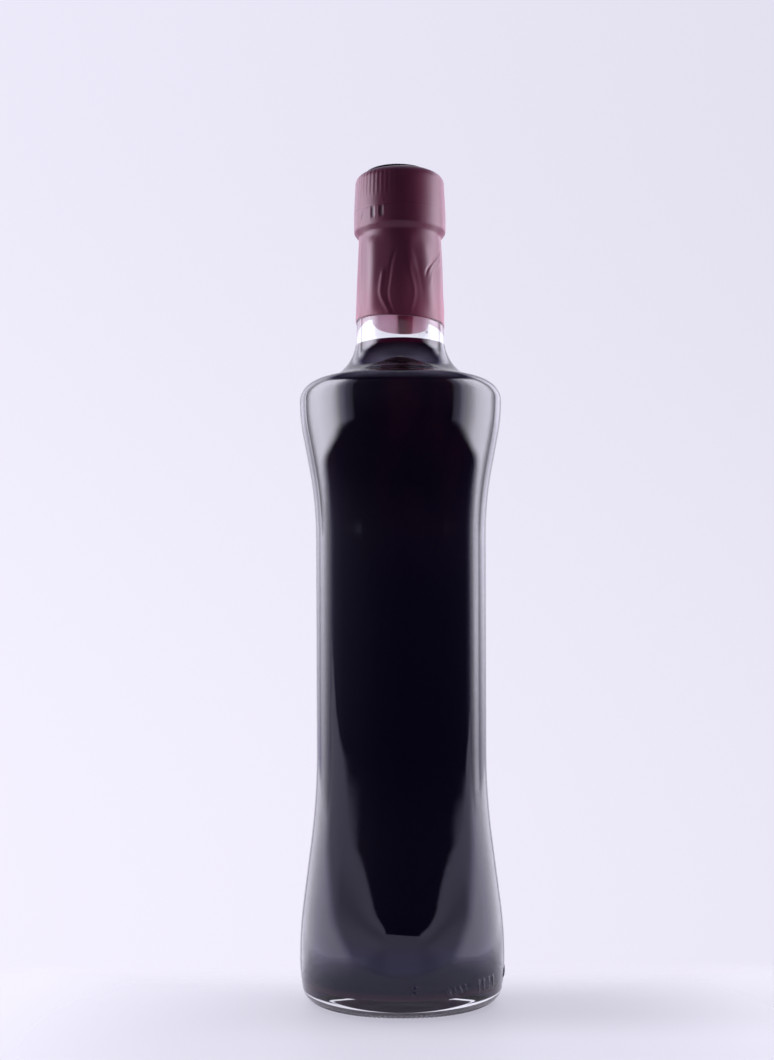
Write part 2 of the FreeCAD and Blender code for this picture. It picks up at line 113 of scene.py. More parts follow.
def bend(before, corner, after, reach, step):
    """The arc that rounds a corner, leaving each leg at reach from it."""
    a = np.array(before, float) - corner
    b = np.array(after, float) - corner
    a, b = a / np.linalg.norm(a), b / np.linalg.norm(b)
    start, end = np.array(corner) + a * reach, np.array(corner) + b * reach
    both = a + b
    centre = np.array(corner) + both * reach / both.dot(a)
    radius = np.linalg.norm(start - centre)
    first = math.degrees(math.atan2(*(start - centre)[::-1]))
    last = math.degrees(math.atan2(*(end - centre)[::-1]))
    last = first + (last - first + 180) % 360 - 180
    return arc(centre, radius, first, last, step)


def rounded(corners, step):
    """A run through corners (radius, height, reach), each rounded off where its reach is above 0.

    Points that fall on the one before are dropped.
    """
    places = [np.array(c[:2], float) for c in corners]
    points = []
    for i, (place, corner) in enumerate(zip(places, corners)):
        reach = corner[2] if len(corner) > 2 else 0
        part = [tuple(place)]
        if reach and 0 < i < len(corners) - 1:
            part = bend(places[i - 1], place, places[i + 1], reach, min(step, max(0.12, reach / 4)))
        if points:
            points += spaced(points[-1], part[0], step)[1:]
        points += part
    return [p for i, p in enumerate(points) if i == 0 or math.dist(p, points[i - 1]) > SAME_POINT]


def foot_side(inset, radius, height):
    """Centre of the small arc at the foot, and the direction in which the side leaves it."""
    side_centre = FOOT_RADIUS - inset - FOOT_UNDER_RADIUS
    reach, drop = FOOT_UNDER_RADIUS - radius, FOOT_HEIGHT - height
    across = side_centre + math.sqrt(reach ** 2 - drop ** 2)
    return (across, height), -math.degrees(math.asin(drop / reach)), (side_centre, FOOT_HEIGHT)


def body_side(inset, neck_radius, lean, step):
    """From the foot's widest ring up to the root of the neck."""
    corner = CORNER_RADIUS - inset
    sweep = SWEEP_RADIUS + inset
    sweep_centre = (neck_radius + sweep * math.cos(lean), NECK_ROOT + sweep * math.sin(lean))
    across = SHOULDER_RADIUS - inset - corner
    rise = math.sqrt((corner + sweep) ** 2 - (sweep_centre[0] - across) ** 2)
    broad = sweep_centre[1] - rise
    meet = math.degrees(math.atan2(rise, sweep_centre[0] - across))
    foot, waist, shoulder = FOOT_RADIUS - inset, WAIST_RADIUS - inset, SHOULDER_RADIUS - inset
    waist_low, waist_high = FOOT_HEIGHT + FOOT_FLARE, broad - SHOULDER_FLARE
    side = rounded([
        (foot, FOOT_HEIGHT), (foot, FOOT_HEIGHT + 9.3, 9.3), (waist, waist_low - 14.8, 14.8),
        (waist, waist_high + 12.0, 12.0), (shoulder, broad - 5.8, 5.8), (shoulder, broad),
    ], step)
    side += arc((across, broad), corner, 0, meet, step / 3)[1:]
    side += arc(sweep_centre, sweep, meet + 180, 180 + math.degrees(lean), step / 2)[1:]
    return side


def neck_radius_at(height):
    """Outside radius of the tapered neck."""
    return FINISH_RADIUS + (COLLAR - height) * math.tan(NECK_TAPER)


def outside_of_glass():
    """Heel, side, neck and finish, from the bearing ring up to the lip."""
    centre, leave, side_centre = foot_side(0, HEEL_RADIUS, HEEL_RADIUS)
    heel = arc(centre, HEEL_RADIUS, -90, leave, 0.32)
    under = arc(side_centre, FOOT_UNDER_RADIUS, leave, 0, 0.45)[1:]
    side = body_side(0, neck_radius_at(NECK_ROOT), NECK_TAPER, 2.0)[1:]
    finish = rounded([
        (neck_radius_at(NECK_ROOT), NECK_ROOT), (FINISH_RADIUS, COLLAR, 0.6),
        (FINISH_RADIUS, MOUTH, LIP_RADIUS), (BORE_RADIUS, MOUTH, LIP_RADIUS), (BORE_RADIUS, NECK_ROOT),
    ], 2.6)[1:]
    return heel, under, side, finish


def inside_of_glass(inset, corner, floor, step):
    """From the root of the bore down the side to the middle of the floor."""
    corner_height = floor + corner
    centre, leave, side_centre = foot_side(inset, corner, corner_height)
    crown = floor + FLOOR_RISE
    drop = crown - corner_height
    dome = (centre[0] ** 2 + drop ** 2 - corner ** 2) / (2 * FLOOR_RISE)
    meet = math.degrees(math.atan2(crown - dome - centre[1], -centre[0]))
    points = body_side(inset, BORE_RADIUS + WALL - inset, 0, step)[::-1]
    points += arc(side_centre, FOOT_UNDER_RADIUS, 0, leave, step)[1:]
    points += arc(centre, corner, leave, meet % 360 - 360, step / 2)[1:]
    reach = math.degrees(math.atan2(points[-1][0], points[-1][1] - crown + dome))
    points += arc((0, crown - dome), dome, 90 - reach, 90, step)[1:-1]
    return points + [(0.0, crown)]


# ---------------------------------------------------------------- meshes
def ring(radius, height, count):
    """One ring of points, first at the front and then towards +X."""
    turn = np.arange(count) * (2 * math.pi / count)
    radius = np.broadcast_to(radius, turn.shape)
    height = np.broadcast_to(height, turn.shape)
    return np.stack([radius * np.sin(turn), -radius * np.cos(turn), height], axis=1)


def bearings(count):
    """The bearing of each point of a ring, from -180 to 180 degrees."""
    turn = np.arange(count) * (360.0 / count)
    return np.where(turn > 180, turn - 360, turn)


def new_piece(name, points, faces):
    """An object with a mesh through points in metres."""
    mesh = bpy.data.meshes.new(name)
    mesh.from_pydata([tuple(p) for p in points], [], faces)
    piece = bpy.data.objects.new(name, mesh)
    bpy.context.scene.collection.objects.link(piece)
    return piece


def store(piece, name, values):
    """Keeps one number for each point of a mesh, which its material reads."""
    data = piece.data.attributes.new(name, "FLOAT", "POINT")
    data.data.foreach_set("value", values.astype(np.float32))


def stitched(name, rings, materials=(), loop=False):
    """A closed mesh through rings of points; a ring of one point is a pole.

    Rings differ in their number of points only by a whole factor.
    materials gives the material number of the faces above each ring.
    """
    starts, total = [], 0
    for r in rings:
        starts.append(total)
        total += len(r)
    faces, marks = [], []
    pairs = [(i, i + 1) for i in range(len(rings) - 1)]
    if loop:
        pairs.append((len(rings) - 1, 0))
    for low, high in pairs:
        a, b = len(rings[low]), len(rings[high])
        s, t = starts[low], starts[high]
        before = len(faces)
        if a == 1:
            faces += [(s, t + (i + 1) % b, t + i) for i in range(b)]
        elif b == 1:
            faces += [(s + i, s + (i + 1) % a, t) for i in range(a)]
        elif a == b:
            faces += [(s + i, s + (i + 1) % a, t + (i + 1) % a, t + i) for i in range(a)]
        elif a > b:
            k = a // b
            for i in range(b):
                for j in range(k):
                    faces.append((s + i * k + j, s + (i * k + j + 1) % a, t + i))
                faces.append((s + (i * k + k) % a, t + (i + 1) % b, t + i))
        else:
            k = b // a
            for i in range(a):
                faces.append((s + i, s + (i + 1) % a, t + i * k))
                for j in range(k):
                    faces.append((s + (i + 1) % a, t + (i * k + j + 1) % b, t + i * k + j))
        marks += [materials[low] if materials else 0] * (len(faces) - before)
    points = np.concatenate(rings) * MM
    # a negative volume means that the faces look inwards
    fans = np.array([(f[0], f[k], f[k + 1]) for f in faces for k in range(1, len(f) - 1)])
    corners = points[fans]
    if np.einsum("ij,ij->", corners[:, 0], np.cross(corners[:, 1], corners[:, 2])) < 0:
        faces = [tuple(reversed(f)) for f in faces]
    piece = new_piece(name, points, faces)
    piece.data.polygons.foreach_set("use_smooth", [True] * len(faces))
    piece.data.polygons.foreach_set("material_index", marks)
    piece.data.update()
    return piece


def smooth_step(low, high, value):
    """From 0 at low to 1 at high, level at both ends; low may be the larger."""
    share = np.clip((value - low) / (high - low), 0, 1)
    return share * share * (3 - 2 * share)


def bell(distance, width):
    """From 1 at no distance down towards 0 beyond the width."""
    return np.exp(-(distance / width) ** 2)


# ---------------------------------------------------------------- nodes
class Nodes:
    """Builds a node tree with plain calls; all but add and feed return sockets."""

    def __init__(self, tree):
        self.tree = tree
        tree.nodes.clear()

    def add(self, kind, inputs=None, **settings):
        """A node itself, with its settings made and its inputs set or linked."""
        node = self.tree.nodes.new(kind)
        for key, value in settings.items():
            setattr(node, key, value)
        for key, value in (inputs or {}).items():
            self.feed(node.inputs[key], value)
        return node

    def feed(self, socket, value):
        """Links a socket to another, or gives it a plain value."""
        if isinstance(value, bpy.types.NodeSocket):
            self.tree.links.new(value, socket)
        else:
            socket.default_value = value

    def math(self, operation, *values):
        node = self.add("ShaderNodeMath", operation=operation)
        for socket, value in zip(node.inputs, values):
            self.feed(socket, value)
        return node.outputs[0]

    def ramp(self, value, low, high, to_low=0.0, to_high=1.0, smooth=True):
        node = self.add("ShaderNodeMapRange", {
            "Value": value, "From Min": low, "From Max": high, "To Min": to_low, "To Max": to_high,
        })
        node.interpolation_type = "SMOOTHSTEP" if smooth else "LINEAR"
        return node.outputs[0]

    def mix(self, share, first, second, blend="MIX"):
        node = self.add("ShaderNodeMix", data_type="RGBA", blend_type=blend)
        self.feed(node.inputs["Factor"], share)
        for socket, value in ((node.inputs[6], first), (node.inputs[7], second)):
            self.feed(socket, (*value, 1.0) if isinstance(value, tuple) and len(value) == 3 else value)
        return node.outputs[2]

    def noise(self, vector, scale, detail=2.0, rough=0.5):
        node = self.add("ShaderNodeTexNoise", {
            "Vector": vector, "Scale": scale, "Detail": detail, "Roughness": rough,
        })
        return node.outputs["Fac"]

    def stretched(self, vector, scale):
        return self.add("ShaderNodeMapping", {"Vector": vector, "Scale": scale}).outputs[0]

    def scaled(self, vector, factor):
        node = self.add("ShaderNodeVectorMath", {0: vector}, operation="SCALE")
        self.feed(node.inputs["Scale"], factor)
        return node.outputs[0]

    def place(self):
        return self.add("ShaderNodeTexCoord").outputs["Object"]

    def stored(self, name):
        return self.add("ShaderNodeAttribute", attribute_name=name).outputs["Fac"]

    def split(self, vector):
        return self.add("ShaderNodeSeparateXYZ", {0: vector}).outputs


def material(name):
    """A new material and its empty node tree."""
    mat = bpy.data.materials.new(name)
    mat.use_nodes = True
    return mat, Nodes(mat.node_tree)


def surface(nodes, settings, bump=None, strength=0.0, depth=0.0):
    """Ends a material in one shader, with a bump of the given depth in metres where there is one."""
    shader = nodes.add("ShaderNodeBsdfPrincipled", settings)
    if bump is not None:
        node = nodes.add("ShaderNodeBump", {"Height": bump, "Strength": strength, "Distance": depth})
        nodes.feed(shader.inputs["Normal"], node.outputs[0])
    nodes.add("ShaderNodeOutputMaterial", {"Surface": shader.outputs[0]})


# ---------------------------------------------------------------- materials
# Two colours together are the ends between which a material drifts.
GLASS_TINTS = (0.985, 0.992, 0.990), (0.965, 0.985, 0.980)
SYRUP_UPPER = (0.0014, 0.0004, 0.0008), (0.0120, 0.0026, 0.0042)
SYRUP_BODY = (0.0006, 0.0002, 0.0020)
SYRUP_FOOT = (0.0010, 0.0003, 0.0280)
SYRUP_RIM = (0.055, 0.0022, 0.0120)
SYRUP_FLOOR = (0.050, 0.014, 0.042)
SYRUP_TOP = (0.060, 0.003, 0.015), (0.085, 0.006, 0.022)
CAP_BLACKS = (0.0060, 0.0055, 0.0080), (0.0120, 0.0110, 0.0150)
FILM_PLUMS = (0.098, 0.0135, 0.033), (0.138, 0.0205, 0.047)
# the colour on the next line is a painted glow: lighter and redder towards the film's foot, for light
# from behind coming through the neck
FILM_PAINTED_GLOW = (0.215, 0.0330, 0.068)
# the colour on the next line is painted shade inside the pressed windows and the slanted nick
FILM_PAINTED_SHADE = (0.012, 0.003, 0.007)
FILM_STREAK = (0.30, 0.12, 0.19)
# the film's inside, painted pale as if lit through from behind; its subsurface scattering carries some
# real light too
FILM_INSIDE_PAINTED_PALE = (0.72, 0.645, 0.645), (0.80, 0.725, 0.725)
# the colour on the next line is a darker stripe on the film's inside, seen through the glass
INSIDE_DARK_STRIPE = (0.36, 0.085, 0.140)

# Levels in metres between which one colour gives way to the next.
BODY_TO_UPPER = 0.130, 0.200
BODY_TO_FOOT = 0.027, 0.018
FOOT_TO_FLOOR = 0.0095, 0.0070
UPPER_TO_RIM = FILL_LEVEL * MM - 0.0034, FILL_LEVEL * MM - 0.0018
FILM_TO_PAINTED_GLOW = 0.2520, 0.2310


def glass_material():
    """Clear glass: slow waves, a little dust, and moulded marks that are dull."""
    mat, n = material("clear_glass")
    place = n.place()
    slow = n.noise(n.stretched(place, (1.0, 1.0, 0.35)), 34.0, 1.0)
    fine = n.noise(place, 260.0, 2.0)
    waves = n.math("ADD", slow, n.math("MULTIPLY", fine, 0.08))
    dust = n.ramp(n.noise(place, 900.0, 3.0, 0.7), 0.68, 0.8, 0.0, 0.05)
    rough = n.math("ADD", dust, n.math("MULTIPLY", n.stored("worn"), 0.62))
    tint = n.mix(n.noise(place, 12.0), *GLASS_TINTS)
    surface(n, {
        "Base Color": tint, "Roughness": rough, "IOR": 1.52, "Transmission Weight": 1.0,
    }, waves, 0.12, 0.0006)
    return mat


def syrup_material():
    """Near-black syrup, violet at its foot and redder where it is thin."""
    mat, n = material("syrup")
    place = n.place()
    height = n.split(place)[2]
    swirl = n.noise(n.stretched(place, (1.0, 1.0, 0.4)), 55.0, 3.0)
    colour = n.mix(n.ramp(swirl, 0.40, 0.70), *SYRUP_UPPER)
    colour = n.mix(n.ramp(height, *BODY_TO_UPPER), SYRUP_BODY, colour)
    colour = n.mix(n.ramp(height, *BODY_TO_FOOT), colour, SYRUP_FOOT)
    colour = n.mix(n.ramp(height, *UPPER_TO_RIM), colour, SYRUP_RIM)
    colour = n.mix(n.math("MULTIPLY", n.ramp(height, *FOOT_TO_FLOOR), 0.8), colour, SYRUP_FLOOR)
    surface(n, {
        "Base Color": colour, "Roughness": n.ramp(swirl, 0.2, 0.8, 0.10, 0.16),
        "IOR": 1.44, "Specular IOR Level": 0.015,
    })
    return mat


def syrup_top_material():
    """The syrup's surface, seen through clear glass."""
    mat, n = material("syrup_top")
    place = n.place()
    swirl = n.noise(place, 140.0, 2.0)
    surface(n, {
        "Base Color": n.mix(swirl, *SYRUP_TOP),
        "Roughness": n.ramp(swirl, 0.3, 0.7, 0.03, 0.07), "IOR": 1.44,
    }, swirl, 0.05, 0.0002)
    return mat


def cap_material():
    """Black moulded plastic with a fine grain."""
    mat, n = material("black_cap")
    place = n.place()
    grain = n.noise(place, 2600.0, 3.0, 0.6)
    cloud = n.noise(place, 130.0, 2.0)
    surface(n, {
        "Base Color": n.mix(cloud, *CAP_BLACKS),
        "Roughness": n.ramp(n.math("ADD", grain, cloud), 0.6, 1.4, 0.30, 0.46), "IOR": 1.5,
        "Specular IOR Level": 0.06,
    }, grain, 0.12, 0.00008)
    return mat


def film_material(inner):
    """The film's plum outside, with painted shade in its windows and a painted glow towards its foot; or
    its inside, painted pale as if lit through from behind, with a darker stripe.
    """
    mat, n = material("plum_film_inside" if inner else "plum_film")
    place = n.place()
    height = n.split(place)[2]
    cloud = n.noise(n.stretched(place, (1.0, 1.0, 0.5)), 120.0, 3.0)
    streak = n.noise(n.stretched(place, (1.0, 1.0, 0.06)), 900.0, 2.0)
    grain = n.noise(place, 4200.0, 2.0)
    if inner:
        colour, dark = n.mix(cloud, *FILM_INSIDE_PAINTED_PALE), INSIDE_DARK_STRIPE
    else:
        colour, dark = n.mix(cloud, *FILM_PLUMS), FILM_PAINTED_SHADE
        # painted glow towards the foot, for light from behind coming through the neck
        colour = n.mix(n.ramp(height, *FILM_TO_PAINTED_GLOW, 0.0, 0.75), colour, FILM_PAINTED_GLOW)
    colour = n.mix(n.math("MULTIPLY", streak, 0.06), colour, FILM_STREAK)
    # painted shade in the windows and the nick outside, and the darker stripe on the inside
    colour = n.mix(n.stored("shade"), colour, dark)
    relief = n.math("ADD", n.math("MULTIPLY", streak, 0.5), n.math("MULTIPLY", grain, 0.25))
    settings = {
        "Base Color": colour, "Roughness": n.ramp(cloud, 0.25, 0.75, 0.32, 0.42), "IOR": 1.5,
        "Specular IOR Level": 0.12 if inner else 0.40,
    }
    if inner:
        settings.update({
            "Subsurface Weight": 0.85, "Subsurface Radius": (1.0, 0.72, 0.86),
            "Subsurface Scale": 0.0009,
        })
    surface(n, settings, relief, 0.10, 0.00010)
    return mat


# ---------------------------------------------------------------- glass
# Points round a plain ring, and round one that carries knurls or marks.
COARSE = 192
FINE = 960

KNURLS = 120
KNURL_DEPTH = 0.70
KNURL_TOP = 1.9

# Scale across the axis, which keeps the moulded marks inside the solid's box.
SHRINK = 0.9990

# Moulded marks on the heel: bearing, height, half width, half height, lean, how proud.
HEEL_MARKS = [
    (6.1, 11.0, 0.55, 0.50, 0, 0.30), (6.1, 9.2, 0.55, 0.50, 0, 0.30),
    (25.5, 8.7, 0.44, 1.25, 30, 0.24), (28.8, 9.1, 0.44, 1.35, 30, 0.24),
    (32.1, 9.5, 0.44, 1.25, 30, 0.24), (35.4, 9.9, 0.44, 0.95, 30, 0.22),
    (45.5, 9.4, 0.46, 1.90, 8, 0.24), (49.5, 9.6, 0.46, 1.90, 8, 0.24),
    (54.0, 9.8, 0.46, 1.90, 8, 0.24), (58.5, 10.0, 0.46, 1.90, 8, 0.24),
    (80.0, 10.2, 0.40, 1.50, 0, 0.36), (85.5, 10.4, 0.40, 1.50, 0, 0.36),
]
MARKS_FROM, MARKS_TO = 6.5, 13.0

# Seeds in the glass: bearing, height, how deep under the outside, radius.
SEEDS = [
    (40.0, 226.4, 2.2, 0.42), (-4.0, 216.0, 1.2, 0.16), (17.5, 209.8, 0.8, 0.17),
    (38.0, 26.5, 0.7, 0.18), (35.0, 21.0, 0.9, 0.18), (-33.0, 20.0, 0.8, 0.18),
    (33.0, 33.0, 0.7, 0.17), (60.0, 27.0, 0.9, 0.18), (-12.0, 52.0, 1.0, 0.10),
    (150.0, 60.0, 1.2, 0.20), (-120.0, 120.0, 1.4, 0.22), (110.0, 182.0, 1.2, 0.18),
    (-60.0, 150.0, 1.1, 0.11), (200.0, 30.0, 1.4, 0.20), (24.0, 128.0, 0.9, 0.13),
]


def heel_relief(radius, height, count):
    """How far the moulded marks stand proud of the heel's ring at a height.

    A mark less than 1.2 mm high is a dot, any other a bar.
    """
    turn = bearings(count)
    proud = np.zeros(count)
    for bearing, level, half_width, half_height, lean, amount in HEEL_MARKS:
        across = np.radians(turn - bearing) * radius
        up = height - level
        lean = math.radians(lean)
        along = np.abs(up * math.cos(lean) - across * math.sin(lean)) / half_height
        aside = np.abs(across * math.cos(lean) + up * math.sin(lean)) / half_width
        out = np.hypot(aside, along) if half_height < 0.6 else np.maximum(aside, along)
        proud += amount * (1 - smooth_step(0.55, 1.35, out))
    # the marks stay inside the box round the widest ring
    turned = np.radians(turn)
    reach = radius * np.maximum(np.abs(np.sin(turned)), np.abs(np.cos(turned)))
    return np.minimum(proud, np.maximum(FOOT_RADIUS - 0.04 - reach, 0.0))


def make_glass():
    """One closed skin: hollow base, knurled ring, heel, side, neck, lip and inside."""
    heel, under, side, finish = outside_of_glass()
    ring_start = heel[0][0] - BEARING_WIDTH
    punt = (ring_start ** 2 + PUNT_HEIGHT ** 2) / (2 * PUNT_HEIGHT)
    reach = math.degrees(math.asin(ring_start / punt))
    dome = arc((0, PUNT_HEIGHT - punt), punt, 90, 90 - reach, 1.1)
    rings = [np.array([[0, 0, PUNT_HEIGHT]])]
    for radius, height in dome[1:-1]:
        rings.append(ring(radius, height, COARSE))

    # The bearing ring is knurled: short radial bars, with hollows between them.
    turn = bearings(FINE)
    bars = smooth_step(-0.25, 0.45, np.cos(np.radians(turn) * KNURLS))
    for share in (0.0, 0.12, 0.35, 0.65, 0.88):
        radius = ring_start + BEARING_WIDTH * share
        hollow = KNURL_DEPTH * math.sin(math.pi * min(1.0, 0.15 + share)) ** 0.5 if share else 0.0
        rings.append(ring(radius, 0.02 + hollow * (1 - bars), FINE))
    worn = {}
    for radius, height in heel + under:
        fade = 1 - smooth_step(0.0, KNURL_TOP, height)
        level = height + KNURL_DEPTH * fade * (1 - bars)
        marked = MARKS_FROM < height < MARKS_TO
        proud = heel_relief(radius, height, FINE) if marked else np.zeros(FINE)
        worn[len(rings)] = np.clip((proud - 0.06) / 0.12, 0, 1)
        rings.append(ring(radius + proud, level, FINE))
    for radius, height in side + finish:
        rings.append(ring(radius, height, COARSE))
    for radius, height in inside_of_glass(WALL, FLOOR_CORNER, FLOOR_HEIGHT, 2.4)[1:-1]:
        rings.append(ring(radius, height, COARSE))
    rings.append(np.array([[0, 0, FLOOR_HEIGHT + FLOOR_RISE]]))
    glass = stitched("bottle_glass", rings)
    glass.data.transform(Matrix.Diagonal((SHRINK, SHRINK, 1.0, 1.0)))
    values = [worn.get(k, np.zeros(len(points))) for k, points in enumerate(rings)]
    store(glass, "worn", np.concatenate(values))
    add_seeds(glass, side)
    return glass


def add_seeds(glass, side):
    """Adds small bubbles to the glass: closed balls whose faces look inwards."""
    outline = sorted((height, radius) for radius, height in side)
    heights = [h for h, _ in outline]
    radii = [r for _, r in outline]
    mesh = bmesh.new()
    mesh.from_mesh(glass.data)
    for bearing, height, deep, size in SEEDS:
        radius = float(np.interp(height, heights, radii)) - deep
        turn = math.radians(bearing)
        place = Vector((radius * math.sin(turn), -radius * math.cos(turn), height)) * MM
        made = bmesh.ops.create_icosphere(
            mesh, subdivisions=3, radius=size * MM, matrix=Matrix.Translation(place))
        skin = {f for v in made["verts"] for f in v.link_faces}
        bmesh.ops.reverse_faces(mesh, faces=list(skin))
        for f in skin:
            f.smooth = True
    mesh.to_mesh(glass.data)
    mesh.free()


# ---------------------------------------------------------------- syrup
# How far it reaches into the glass, how far its middle lies under the fill level, and how far
# its edge climbs above the middle.
INTO_WALL = 0.25
SURFACE_DROP = 1.5
EDGE_CLIMB = 0.62


def make_syrup():
    """The syrup reaches a little into the wall, so no air shows between it and the glass.

    It climbs the wall towards the fill level, so its middle lies lower.
    """
    middle = FILL_LEVEL - SURFACE_DROP
    inside = inside_of_glass(WALL - INTO_WALL, FLOOR_CORNER + INTO_WALL, FLOOR_HEIGHT - INTO_WALL, 2.4)
    edge = float(np.interp(middle, *zip(*sorted((h, r) for r, h in inside if h > 215))))
    rings = [np.array([[0, 0, middle]])]
    marks = [1]
    for radius in (2.0, 4.0, 6.0, 7.2, 8.2, 8.9, 9.4, 9.75):
        climb = 0.95 * math.exp(-(BORE_RADIUS + 0.35 - radius) / 0.75)
        rings.append(ring(radius, middle + climb, COARSE))
        marks.append(1)
    rings.append(ring(edge, middle + EDGE_CLIMB, COARSE))
    marks.append(0)
    for radius, height in inside:
        if height < middle - 0.2 and radius > 0:
            rings.append(ring(radius, height, COARSE))
            marks.append(0)
    rings.append(np.array([[0, 0, inside[-1][1]]]))
    marks.append(0)
    return stitched("syrup_fill", rings, marks)


# ---------------------------------------------------------------- screw cap
BOSS_ASIDE = 0.85


def make_cap():
    """The cap's shell with its turned boss, which sits a little off the middle."""
    top = CAP_TOP + BOSS_HEIGHT
    crown_in = (CAP_TOP - CROWN_RADIUS - BAND_TOP) * math.tan(CROWN_DRAFT)
    shell = rounded([
        (CAP_BORE, CAP_UNDERSIDE), (CAP_BORE, CAP_FOOT, 0.25), (CAP_RADIUS, CAP_FOOT, 0.25),
        (CAP_RADIUS, BAND_TOP - 0.5, 0.15), (CAP_RADIUS - 0.3, BAND_TOP - 0.3, 0.1),
        (CAP_RADIUS, BAND_TOP, 0.1), (CAP_RADIUS - crown_in - 0.13, CAP_TOP, 2.2),
        (BOSS_RADIUS + 0.25, CAP_TOP, 0.2), (BOSS_RADIUS, CAP_TOP + 0.3, 0.15), (BOSS_RADIUS, top, 0.45),
        (BOSS_RADIUS - 1.6, top, 0.2), (BOSS_RADIUS - 1.9, top - 0.35, 0.2), (1.6, top - 0.35, 0.3),
        (1.2, top - 0.15, 0.2), (0.4, top - 0.15),
    ], 1.2)
    rings = [np.array([[0, 0, CAP_UNDERSIDE]])]
    for radius, height in shell:
        points = ring(radius, height, COARSE)
        on_boss = radius <= BOSS_RADIUS + 0.3
        aside = float(smooth_step(CAP_TOP, CAP_TOP + 0.3, height)) if on_boss else 0.0
        points[:, 0] -= BOSS_ASIDE * aside
        rings.append(points)
    rings.append(np.array([[-BOSS_ASIDE, 0, top - 0.15]]))
    return stitched("cap_shell", rings)


# ---------------------------------------------------------------- capsule
# Points round the film, and how far up from its foot the slanted cut is felt.
FILM_POINTS = 480
CUT_ZONE = 8.0

# Ridges in the skirt: points (bearing, height) from top to bottom, half width, how proud.
RIDGES = [
    ([(-23, 247.5), (-25, 243.0), (-27, 239.2), (-21, 235.3), (-13, 232.0)], 0.80, 0.22),
    ([(-6, 254), (-12, 249.6), (-14, 245.8), (-16, 241.5), (-18, 239), (-14, 234.4), (-9, 232)],
     0.60, -0.14),
    ([(10, 250), (13, 245.8), (17, 242), (19, 239), (17, 236.8), (12, 233.0)], 0.70, 0.11),
    ([(14, 256), (22, 250), (27, 245.5), (30, 240)], 0.95, -0.06),
    ([(12, 259), (12, 253), (14, 247)], 2.10, 0.28),
    ([(33, 257), (38, 249), (41, 242), (42, 235)], 2.60, 0.22),
    ([(72, 256), (58, 252), (43, 249.3), (35, 246)], 0.55, -0.24),
    ([(76, 254), (64, 250.5), (50, 247.5), (42, 243)], 1.10, 0.18),
    ([(-41, 259), (-40, 250), (-42, 241), (-40, 233)], 3.00, 0.56),
    ([(-68, 258), (-66, 249), (-60, 240), (-62, 234)], 0.80, 0.10),
    ([(98, 259), (92, 251), (96, 243), (91, 235)], 1.10, 0.20),
    ([(128, 258), (134, 249), (131, 240)], 1.00, 0.22),
    ([(158, 259), (152, 252), (157, 242), (150, 234)], 0.90, 0.20),
    ([(-104, 259), (-99, 252), (-106, 243), (-101, 235)], 1.10, 0.22),
    ([(-137, 258), (-131, 249), (-136, 240), (-133, 233)], 0.95, 0.22),
    ([(-160, 256), (-157, 247), (-161, 238)], 0.90, 0.18),
]

# Bearings of the two pressed windows, of the nick beside them, of the lap at the back and of
# the darker stripe on the film's inside, seen through the glass; and how high the nick sits.
WINDOWS = (-36.0, -24.0)
NICK = -55.0
LAP = 180.0
INSIDE_STRIPE = 169.0
NICK_HEIGHT = 266.2

RIBS = 60
RIB_HEIGHT = 0.065


def turned_away(turn, bearing):
    """Signed angle from a bearing, in degrees."""
    return (turn - bearing + 180) % 360 - 180


def skirt_relief(height, radius, turn):
    """Ridges and slack of the skirt, gone at the collar and weaker at the cut foot."""
    fade = float(smooth_step(COLLAR + 0.3, COLLAR - 3.0, height))
    foot = float(smooth_step(FILM_FOOT - 0.2, FILM_FOOT + 1.5, height))
    proud = np.zeros(len(turn))
    for path, width, amount in RIDGES:
        levels = [p[1] for p in path][::-1]
        angles = [p[0] for p in path][::-1]
        bearing = float(np.mean(np.interp(height + np.linspace(-1.8, 1.8, 7), levels, angles)))
        ends = float(smooth_step(levels[0] - 2.5, levels[0] + 2.0, height)
                     * (1 - smooth_step(levels[-1] - 3.0, levels[-1] + 1.0, height)))
        aside = np.radians(turned_away(turn, bearing)) * radius
        proud += amount * ends * bell(aside, width)
        proud -= 0.16 * amount * ends * bell(aside - 1.9 * width, 1.1 * width)
    slack = (np.sin(np.radians(turn * 3 + 40) + height * 0.13) * 0.06
             + np.sin(np.radians(turn * 5 - 25) - height * 0.09) * 0.05
             + np.sin(np.radians(turn * 9 + 10) + height * 0.21) * 0.025)
    proud = (proud + slack + 0.06) * fade * (0.35 + 0.65 * foot)
    # the film stands out a little over the leaf-shaped fold
    return proud + 0.10 * bell((height - 241) / 9.0, 1.0) * bell(turned_away(turn, 1.5), 11.0)


def grip_relief(height, turn):
    """Ribs, strong on the left of the front and round the back, nearly gone on the right."""
    grip = 0.25 + 0.75 * (smooth_step(-95, -60, turn) * (1 - smooth_step(-22, 4, turn)))
    grip = np.maximum(grip, 0.75 * smooth_step(100, 140, np.abs(turn)))
    grip = grip * (1 - 0.85 * smooth_step(0, 25, turn) * (1 - smooth_step(85, 120, turn)))
    reach = float(smooth_step(BAND_TOP + 2.6, BAND_TOP + 4.2, height)
                  * (1 - smooth_step(CAP_TOP - 0.6, CAP_TOP + 0.30, height)))
    wave = np.cos(np.radians(turn) * RIBS)
    return RIB_HEIGHT * grip * reach * smooth_step(-1.1, 1.1, wave)


